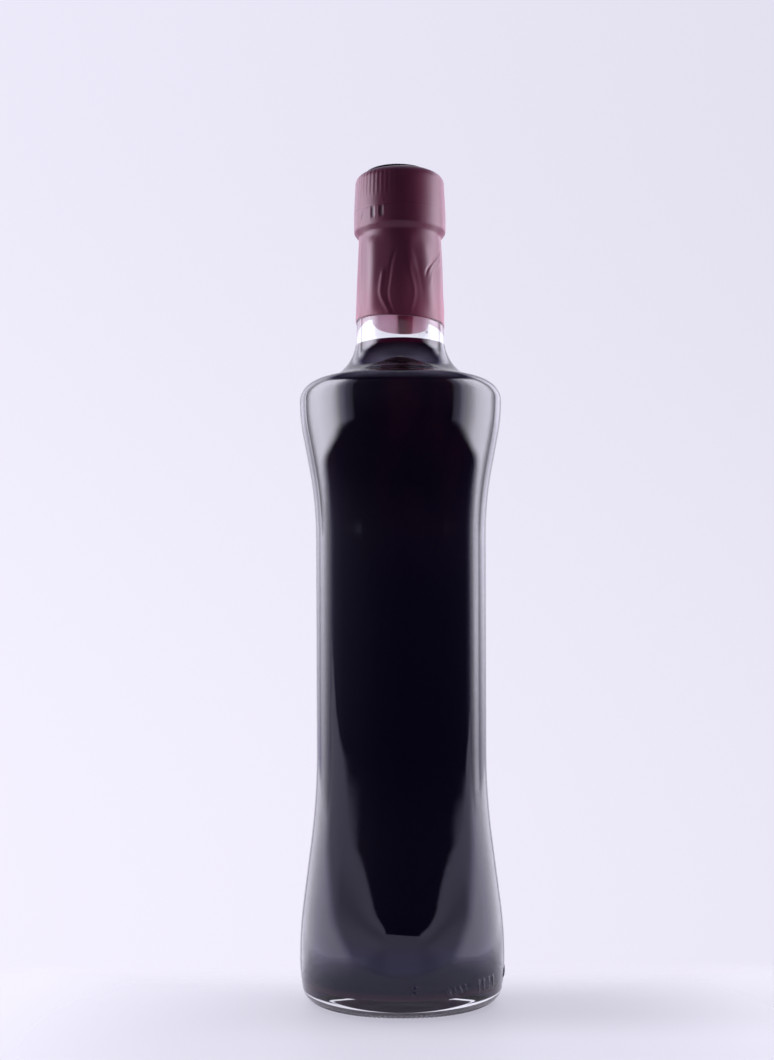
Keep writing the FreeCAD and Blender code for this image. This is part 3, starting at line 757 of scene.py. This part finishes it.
def film_relief(height, radius, turn):
    """Outward shift of the film, and its painted shade in the windows and the nick, round one ring."""
    proud = np.zeros(len(turn))
    dark = np.zeros(len(turn))
    if height < COLLAR + 0.5:
        proud = skirt_relief(height, radius, turn)
    # the lap at the back
    seam = turned_away(turn, LAP)
    lap = smooth_step(-9.0, -8.2, seam) * (1 - smooth_step(7.6, 8.4, seam))
    proud += 0.10 * lap
    if height > BAND_TOP:
        proud += grip_relief(height, turn)
    # the break line over the tamper band
    proud -= 0.07 * bell(height - (BAND_TOP - 0.4), 0.22) * (1 - 0.6 * smooth_step(-15, 40, turn))
    # the two windows and the slanted nick beside them, pressed in, with painted shade inside them
    for bearing in WINDOWS:
        aside = np.radians(turned_away(turn, bearing)) * radius
        up = height - (CAP_FOOT + BAND_TOP) / 2 - 0.5
        hole = (1 - smooth_step(0.15, 1.05, np.abs(aside))) * float(1 - smooth_step(1.1, 2.3, abs(up)))
        proud -= 0.15 * hole
        dark = np.maximum(dark, 0.85 * hole)
        proud += 0.035 * bell(np.abs(aside) - 1.15, 0.36) * float(1 - smooth_step(2.0, 2.8, abs(up)))
    aside = np.radians(turned_away(turn, NICK)) * radius - (height - NICK_HEIGHT) * 0.42
    nick = bell(aside, 0.34) * float(bell(height - NICK_HEIGHT, 1.6))
    proud -= 0.22 * nick
    dark = np.maximum(dark, 0.70 * nick)
    return proud, dark


def near_rim(radius, height):
    """1 at the rolled rim round the boss, 0 a little way out from it."""
    return float(smooth_step(FILM_RIM + 1.4, FILM_RIM + 0.2, radius)) if height > CAP_TOP else 0.0


def make_film():
    """A closed skin: the outside with its relief, the rim, and the inside."""
    gap, out = FILM_GAP, FILM_GAP + FILM
    crown_in = (CAP_TOP - BAND_TOP) * math.tan(CROWN_DRAFT)
    outer = rounded([
        (neck_radius_at(FILM_FOOT) + out, FILM_FOOT + 0.02), (FINISH_RADIUS + out, COLLAR - 0.1, 0.55),
        (CAP_RADIUS + out, CAP_FOOT - gap, 0.5), (CAP_RADIUS + out, BAND_TOP, 0.6),
        (CAP_RADIUS + out - crown_in, CAP_TOP + out, 2.6), (FILM_RIM + 0.15, CAP_TOP + out),
    ], 0.42)
    inner = rounded([
        (FILM_RIM + 0.15, CAP_TOP + gap), (CAP_RADIUS + gap - crown_in, CAP_TOP + gap, 2.3),
        (CAP_RADIUS + gap, BAND_TOP, 0.6), (CAP_RADIUS + gap, CAP_FOOT - gap, 0.3),
        (FINISH_RADIUS + gap, COLLAR - 0.1, 0.4), (neck_radius_at(FILM_FOOT) + gap, FILM_FOOT + 0.02),
    ], 1.1)
    rim = [
        (FILM_RIM + 0.04, CAP_TOP + out - 0.04), (FILM_RIM, CAP_TOP + gap + FILM / 2),
        (FILM_RIM + 0.04, CAP_TOP + gap + 0.04),
    ]
    turn = bearings(FILM_POINTS)
    ragged = (0.22 * np.sin(np.radians(turn * 2 + 70)) + 0.10 * np.sin(np.radians(turn * 5))
              + 0.05 * np.sin(np.radians(turn * 11 + 20)))
    rings, shades, marks = [], [], []

    # the cut foot isn't level: high on the left, low at the back
    cut = np.radians(turn)
    slant = -0.59 + 0.825 * np.cos(cut) - 0.855 * np.sin(cut) - 0.485 * np.cos(2 * cut)

    def lay(radius, height, proud, dark, mark):
        """Adds a ring; near the cut foot it is slanted along the neck."""
        if np.max(height) < FILM_FOOT + CUT_ZONE:
            lower = height + slant * smooth_step(FILM_FOOT + CUT_ZONE, FILM_FOOT, height)
            radius, height = radius + neck_radius_at(lower) - neck_radius_at(height), lower
        rings.append(ring(radius + proud, height, FILM_POINTS))
        shades.append(dark)
        marks.append(mark)

    for radius, height in outer:
        proud, dark = film_relief(height, radius, turn)
        near = near_rim(radius, height)
        proud = proud * (1 - near) + ragged * near
        lay(radius, height + 0.05 * near * (1 + np.sin(np.radians(turn * 3))), proud, dark, 0)
    for radius, height in rim:
        lay(radius, height, ragged, np.zeros(FILM_POINTS), 0)
    from_inside_stripe = np.abs(turned_away(turn, INSIDE_STRIPE))
    # a darker stripe on the inside, narrower towards the foot
    for radius, height in inner:
        dark_to = 8.0 + min(max(height - FILM_FOOT, 0), 4.0)
        dark = 1 - smooth_step(dark_to, 17.0, from_inside_stripe)
        lay(radius, height, ragged * near_rim(radius, height), dark, 1)
    film = stitched("capsule_film", rings, marks, loop=True)
    store(film, "shade", np.concatenate(shades))
    return film


# ---------------------------------------------------------------- dressing the part
def dress(piece, node, slot, *materials):
    """Gives a piece its materials and sets it in the place of a solid."""
    for mat in materials:
        piece.data.materials.append(mat)
    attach(piece, "root")
    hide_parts(node)


dress(make_glass(), "bottle", "clear_glass", glass_material())
dress(make_syrup(), "syrup", "syrup", syrup_material(), syrup_top_material())
dress(make_cap(), "screw_cap", "black_cap", cap_material())
dress(make_film(), "capsule", "plum_film", film_material(False), film_material(True))


# ---------------------------------------------------------------- studio
# Colour of dim and of bright light in the studio.
TINT = (1.01, 0.945, 1.45)
NEUTRAL = (1.0, 0.970, 1.14)

TABLE_RINGS = (20, 40, 60, 80, 100, 130, 160, 200, 260, 330, 420, 520)
TABLE_POINTS = 96
TABLE_WHITES = (0.195, 0.197, 0.190), (0.205, 0.207, 0.200)
TABLE_GLOW = (0.552, 0.538, 0.632)
TABLE_DROP = 0.00005

# How bright the room is round the bottle, by bearing.
AROUND = [
    (-180, 0.95), (-165, 1.12), (-155, 1.42), (-148, 1.45), (-142, 1.25), (-136, 2.45),
    (-130, 2.7), (-124, 2.2), (-118, 1.5), (-112, 0.95), (-106, 0.35), (-100, 0.18),
    (-84, 0.11), (-55, 0.07), (-30, 0.035), (0, 0.022), (60, 0.03), (96, 0.045),
    (102, 0.2), (106, 0.75), (112, 1.9), (118, 4.0), (124, 3.6), (130, 1.15),
    (136, 1.75), (142, 2.0), (148, 1.75), (155, 1.45), (165, 1.1), (180, 0.95),
]

# The side walls, 150 mm out: brightness of the raised panel along Y, and the top edge of the low wall.
WALL_X = 150.0
PANEL = {
    -1: [
        (-135, 0), (-118, 0.5), (-95, 0.95), (-71, 2.6), (-56, 5.2), (-41, 7.8), (-26, 8.6), (6, 8.5),
        (26, 7.5), (50, 5.7), (60, 4.9), (70, 3.7), (80, 2.4), (95, 1.2), (110, 0.9),
    ],
    1: [
        (-112, 0), (-100, 0.45), (-78, 0.9), (-62, 2.5), (-47, 3.3), (-32, 4.6), (-17, 6.6), (0, 7.2),
        (20, 6.8), (42, 6.0), (60, 4.7), (75, 2.6), (95, 1.1), (110, 0.9),
    ],
}
LOW = {
    -1: [
        (-460, 38), (-334, 52), (-225, 60), (-150, 68), (-110, 71), (-60, 73), (-37, 77), (-18, 84),
        (0, 96), (12, 112), (24, 130), (34, 66), (260, 66),
    ],
    1: [
        (-460, 26), (-301, 38), (-205, 52), (-157, 60), (-110, 66), (-66, 69), (-30, 70), (-11, 73),
        (3, 82), (15, 98), (26, 66), (260, 66),
    ],
}

# The panel's lower edge and how softly it ends, along Y; its top, where it ends behind, and the
# level that parts it from the low wall.
PANEL_FOOT = [-100, -70, -30], [170.6, 170.9, 171.4]
PANEL_SOFT = [-100, -70, -30], [5, 9, 6.5]
PANEL_TOP = 325, 360
PANEL_BACK = 112
PANEL_LEVEL = 145

# Where the low wall turns bright: Y at 65 mm up and the slope from there; and how much brighter
# what stands for the table gets below its level.
BRIGHT_FROM = {-1: (38, 2.2), 1: (12, 1.8)}
SUNK_RISE = {-1: 1.25, 1: 0.85}

# The room's shell with a faint violet haze over all of it, and the card in front.
ROOM_RADIUS = 12000.0
ROOM_HAZE = (0.012, 0.0, 0.075)
FRONT_LEVEL = 0.72

# Kinds of ray that pass a piece by which only mirrors show.
MIRRORED_ONLY = ("camera", "shadow", "diffuse", "transmission", "volume_scatter")

# The lamps in metres: their place is along Y and up, the power by side.
LAMP_SIZE = 0.130, 0.170
LAMP_COLOUR = (1.0, 0.965, 1.08)
LAMP_PLACE = 0.010, 0.255
LAMP_POWER = {-1: 0.22, 1: 0.32}

# The world: light on rough surfaces, and the backdrop below, above, and its drift from left to right.
SOFT_LIGHT = (1.0, 0.965, 1.13)
PALE_LOW = (0.872, 0.842, 0.972)
PALE_HIGH = (0.808, 0.786, 0.915)
PALE_LEFT = (1.09, 1.09, 1.09)
PALE_RIGHT = (0.91, 0.91, 0.91)

# The camera: metres, millimetres, share of the frame's longer side, and a slight roll.
CAMERA_PLACE = (-0.0049, -0.500, 0.113)
CAMERA_LENS = 49.415
CAMERA_SHIFT = 0.1318
CAMERA_ROLL = math.radians(-0.19)


def hide_from(piece, *kinds):
    """Keeps a studio piece out of the given kinds of ray."""
    for kind in kinds:
        setattr(piece, "visible_" + kind, False)


def stage_mesh(name, points, faces, mat):
    """A piece of the studio, with its points in millimetres."""
    piece = new_piece(name, np.array(points, float) * MM, faces)
    piece.data.materials.append(mat)
    return piece


def grid_faces(rows, cols):
    """Quads through a grid of points, stored row by row."""
    return [
        (i * cols + k, (i + 1) * cols + k, (i + 1) * cols + k + 1, i * cols + k + 1)
        for i in range(rows - 1) for k in range(cols - 1)
    ]


def partly_there(n, shader, cover):
    """Ends a material in a shader that shows only as far as cover says."""
    clear = n.add("ShaderNodeBsdfTransparent")
    mixed = n.add("ShaderNodeMixShader", {0: cover, 1: clear.outputs[0], 2: shader.outputs[0]})
    n.add("ShaderNodeOutputMaterial", {"Surface": mixed.outputs[0]})


def make_floor():
    """A pale round table top that fades into the background away from the object."""
    count = TABLE_POINTS
    rings = [np.array([[0, 0, 0.0]])] + [ring(radius, 0.0, count) for radius in TABLE_RINGS]
    faces = [(0, 1 + i, 1 + (i + 1) % count) for i in range(count)]
    for k in range(len(TABLE_RINGS) - 1):
        s, t = 1 + k * count, 1 + (k + 1) * count
        faces += [(s + i, t + i, t + (i + 1) % count, s + (i + 1) % count) for i in range(count)]
    mat, n = material("table_top")
    place = n.place()
    x, y, _ = n.split(place)
    grain = n.noise(place, 700.0, 3.0)
    # a painted shade under and beside the object, deeper towards the right, on top of the real shadow;
    # it darkens both the table's colour and its glow
    along = n.math("MULTIPLY", n.ramp(y, -0.060, -0.018), n.ramp(y, 0.048, -0.008))
    across = n.math("SUBTRACT", n.ramp(x, -0.100, 0.030, 0.0, 0.19), n.ramp(x, 0.060, 0.140, 0.0, 0.07))
    bright = n.math("SUBTRACT", 1.0, n.math("MULTIPLY", along, across))
    top = n.add("ShaderNodeBsdfPrincipled", {
        "Base Color": n.scaled(n.mix(grain, *TABLE_WHITES), bright),
        "Roughness": 0.55, "Specular IOR Level": 0.3,
        "Emission Color": n.scaled(TABLE_GLOW, bright), "Emission Strength": 1.0,
    })
    ahead = n.add("ShaderNodeVectorMath", {0: place, 1: (0.005, -0.040, 0.0)}, operation="DISTANCE")
    fade = n.math("MAXIMUM", n.ramp(ahead.outputs["Value"], 0.055, 0.200), n.ramp(y, 0.000, 0.066))
    fade = n.math("MAXIMUM", fade, n.ramp(y, -0.088, -0.125))
    clear = n.add("ShaderNodeBsdfTransparent")
    faded = n.add("ShaderNodeMixShader", {0: fade, 1: top.outputs[0], 2: clear.outputs[0]})
    n.add("ShaderNodeOutputMaterial", {"Surface": faded.outputs[0]})
    floor = stage_mesh("floor", np.concatenate(rings), faces, mat)
    floor.location.z = -TABLE_DROP


def wall_light(side, y, z):
    """Brightness of a side wall at a point, and how much of it is there."""
    along, level = zip(*PANEL[side])
    raised = np.interp(y, along, level, left=0.0)
    foot = np.interp(y, *PANEL_FOOT)
    whole = smooth_step(0.0, 0.35, raised) * (y < PANEL_BACK) * (1 - smooth_step(*PANEL_TOP, z))
    whole *= smooth_step(foot, foot + np.interp(y, *PANEL_SOFT), z)
    along, edge = zip(*LOW[side])
    depth = np.interp(y, along, edge) - z
    start, slope = BRIGHT_FROM[side]
    past = y - (start - (65 - z) * slope)
    glow = 0.86 + 1.5 * smooth_step(-28, 28, past) * smooth_step(80, 66, z)
    glow -= 0.8 * smooth_step(110, 250, y)
    glow -= 0.26 * bell(depth - 27, 10) * smooth_step(-30, -60, y)
    # below the table's level it stands for the table, which has faded out there
    sunk = smooth_step(4, -14, z)
    glow = glow * (1 - sunk) + sunk * (0.62 + SUNK_RISE[side] * smooth_step(-260, 0, y))
    high = z > PANEL_LEVEL
    return np.where(high, raised, glow), np.where(high, whole, smooth_step(-3.0, 3.0, depth))


def make_side(name, side):
    """A side wall of the studio: a low white wall, and a bright panel from the shoulder up."""
    mat, n = material(name)
    level = n.stored("level")
    plain = n.math("MAXIMUM", n.ramp(level, 0.95, 3.5), n.ramp(n.split(n.place())[1], -0.03, 0.08))
    light = n.add("ShaderNodeEmission", {"Color": n.mix(plain, TINT, NEUTRAL), "Strength": level})
    partly_there(n, light, n.stored("cover"))
    along = np.unique(np.concatenate([
        np.arange(-460, -160, 20.0), np.arange(-160, 130, 4.0), np.arange(130, 265, 15.0),
    ]))
    up = np.concatenate([
        np.arange(-240, -20, 20.0), np.arange(-18, 150, 3.0), np.arange(152, 196, 1.5),
        np.arange(200, 365, 6.0),
    ])
    y, z = np.meshgrid(along, up, indexing="ij")
    y, z = y.ravel(), z.ravel()
    points = np.stack([np.full(y.size, WALL_X * side), y, z], axis=1)
    wall = stage_mesh(name, points, grid_faces(len(along), len(up)), mat)
    level, cover = wall_light(side, y, z)
    store(wall, "level", level)
    store(wall, "cover", cover)
    hide_from(wall, *MIRRORED_ONLY)


def make_lamp(name, side):
    """The same panel as a lamp, for everything that isn't a mirror."""
    data = bpy.data.lights.new(name, "AREA")
    data.shape = "RECTANGLE"
    data.size, data.size_y = LAMP_SIZE
    data.energy = LAMP_POWER[side]
    data.color = LAMP_COLOUR
    lamp = bpy.data.objects.new(name, data)
    bpy.context.scene.collection.objects.link(lamp)
    lamp.location = (WALL_X * side * MM, *LAMP_PLACE)
    lamp.rotation_euler = (0.0, math.radians(90.0 * side), 0.0)
    hide_from(lamp, "camera", "glossy", "transmission")


def make_front():
    """A dim card in front, from far below up to a little over the table."""
    mat, n = material("front_edge")
    light = n.add("ShaderNodeEmission", {"Color": (*TINT, 1.0), "Strength": FRONT_LEVEL})
    n.add("ShaderNodeOutputMaterial", {"Surface": light.outputs[0]})
    corners = [(-150, -450, -900), (150, -450, -900), (150, -450, 24), (-150, -450, 30)]
    edge = stage_mesh("front_edge", corners, [(0, 1, 2, 3)], mat)
    hide_from(edge, *MIRRORED_ONLY)


def make_room():
    """The room the glass mirrors: dark in front, bright left and right of the back, open behind."""
    mat, n = material("room")
    level = n.stored("level")
    lit = n.scaled(n.mix(n.ramp(level, 0.5, 1.2), TINT, NEUTRAL), level)
    colour = n.add("ShaderNodeVectorMath", {0: lit, 1: ROOM_HAZE}, operation="ADD")
    light = n.add("ShaderNodeEmission", {"Color": colour.outputs[0], "Strength": 1.0})
    partly_there(n, light, n.stored("cover"))
    along = np.arange(-164, 165, 2.0)
    up = np.concatenate([np.arange(-60, -8, 4.0), np.arange(-8, 12, 1.0), np.arange(12, 90, 3.0)])
    turn, rise = np.meshgrid(along, up, indexing="ij")
    turn, rise = turn.ravel(), rise.ravel()
    a, e = np.radians(turn), np.radians(rise)
    points = np.stack([np.sin(a) * np.cos(e), -np.cos(a) * np.cos(e), np.sin(e)], axis=1) * ROOM_RADIUS
    shell = stage_mesh("room", points, grid_faces(len(along), len(up)), mat)
    # brighter above the horizon than below it, with a ceiling of its own
    level = np.interp(turn, *zip(*AROUND))
    level = np.minimum(level * np.interp(rise, [-6, 8], [0.45, 1.40]), np.maximum(level, 3.9))
    above = 0.36 + 0.30 * smooth_step(36, 130, np.abs(turn))
    level = smooth_step(42, 74, rise) * above + smooth_step(50, 36, rise) * level
    store(shell, "level", level)
    store(shell, "cover", 1 - smooth_step(152, 162, np.abs(turn)))
    hide_from(shell, *MIRRORED_ONLY)


def make_world():
    """A pale backdrop for what is seen, mirrored or seen through glass; else soft light.

    The soft light comes from above and from behind.
    """
    world = bpy.data.worlds.new("studio")
    bpy.context.scene.world = world
    world.use_nodes = True
    n = Nodes(world.node_tree)
    way = n.split(n.add("ShaderNodeTexCoord").outputs["Generated"])
    height = n.math("MULTIPLY", n.math("ARCSINE", way[2]), 180 / math.pi)
    behind = n.ramp(way[1], 0.10, 0.55)
    ceiling = n.math("ADD", 0.50, n.math("MULTIPLY", behind, 0.60))
    sides = n.math("ADD", 0.06, n.math("MULTIPLY", behind, 1.9))
    above = n.math("MULTIPLY", n.ramp(height, 42, 74), ceiling)
    level = n.math("ADD", above, n.math("MULTIPLY", n.ramp(height, 50, 36), sides))
    soft = n.scaled(SOFT_LIGHT, level)
    pale = n.mix(n.ramp(height, -10, 24), PALE_LOW, PALE_HIGH)
    left, right = n.mix(1.0, pale, PALE_LEFT, "MULTIPLY"), n.mix(1.0, pale, PALE_RIGHT, "MULTIPLY")
    pale = n.mix(n.ramp(way[0], -0.5, 0.5, smooth=False), left, right)
    rays = n.add("ShaderNodeLightPath").outputs
    mirrored = n.math("MAXIMUM", rays["Is Glossy Ray"], rays["Is Transmission Ray"])
    seen = n.math("MAXIMUM", rays["Is Camera Ray"], mirrored)
    shader = n.add("ShaderNodeBackground", {"Color": n.mix(seen, soft, pale), "Strength": 1.0})
    n.add("ShaderNodeOutputWorld", {"Surface": shader.outputs[0]})


def make_camera():
    """A camera a little left of the middle, level, with its frame shifted up."""
    data = bpy.data.cameras.new("camera")
    data.sensor_width = 36.0
    data.lens = CAMERA_LENS
    data.shift_y = CAMERA_SHIFT
    data.clip_start = 0.01
    camera = bpy.data.objects.new("camera", data)
    bpy.context.scene.collection.objects.link(camera)
    camera.matrix_world = (
        Matrix.Translation(CAMERA_PLACE)
        @ Matrix.Rotation(math.radians(90), 4, "X")
        @ Matrix.Rotation(CAMERA_ROLL, 4, "Z")
    )
    bpy.context.scene.camera = camera


make_floor()
make_front()
for side, name in ((-1, "left"), (1, "right")):
    make_side("wall_" + name, side)
    make_lamp("lamp_" + name, side)
make_room()
make_world()
make_camera()
bpy.context.scene.view_settings.view_transform = "Standard"
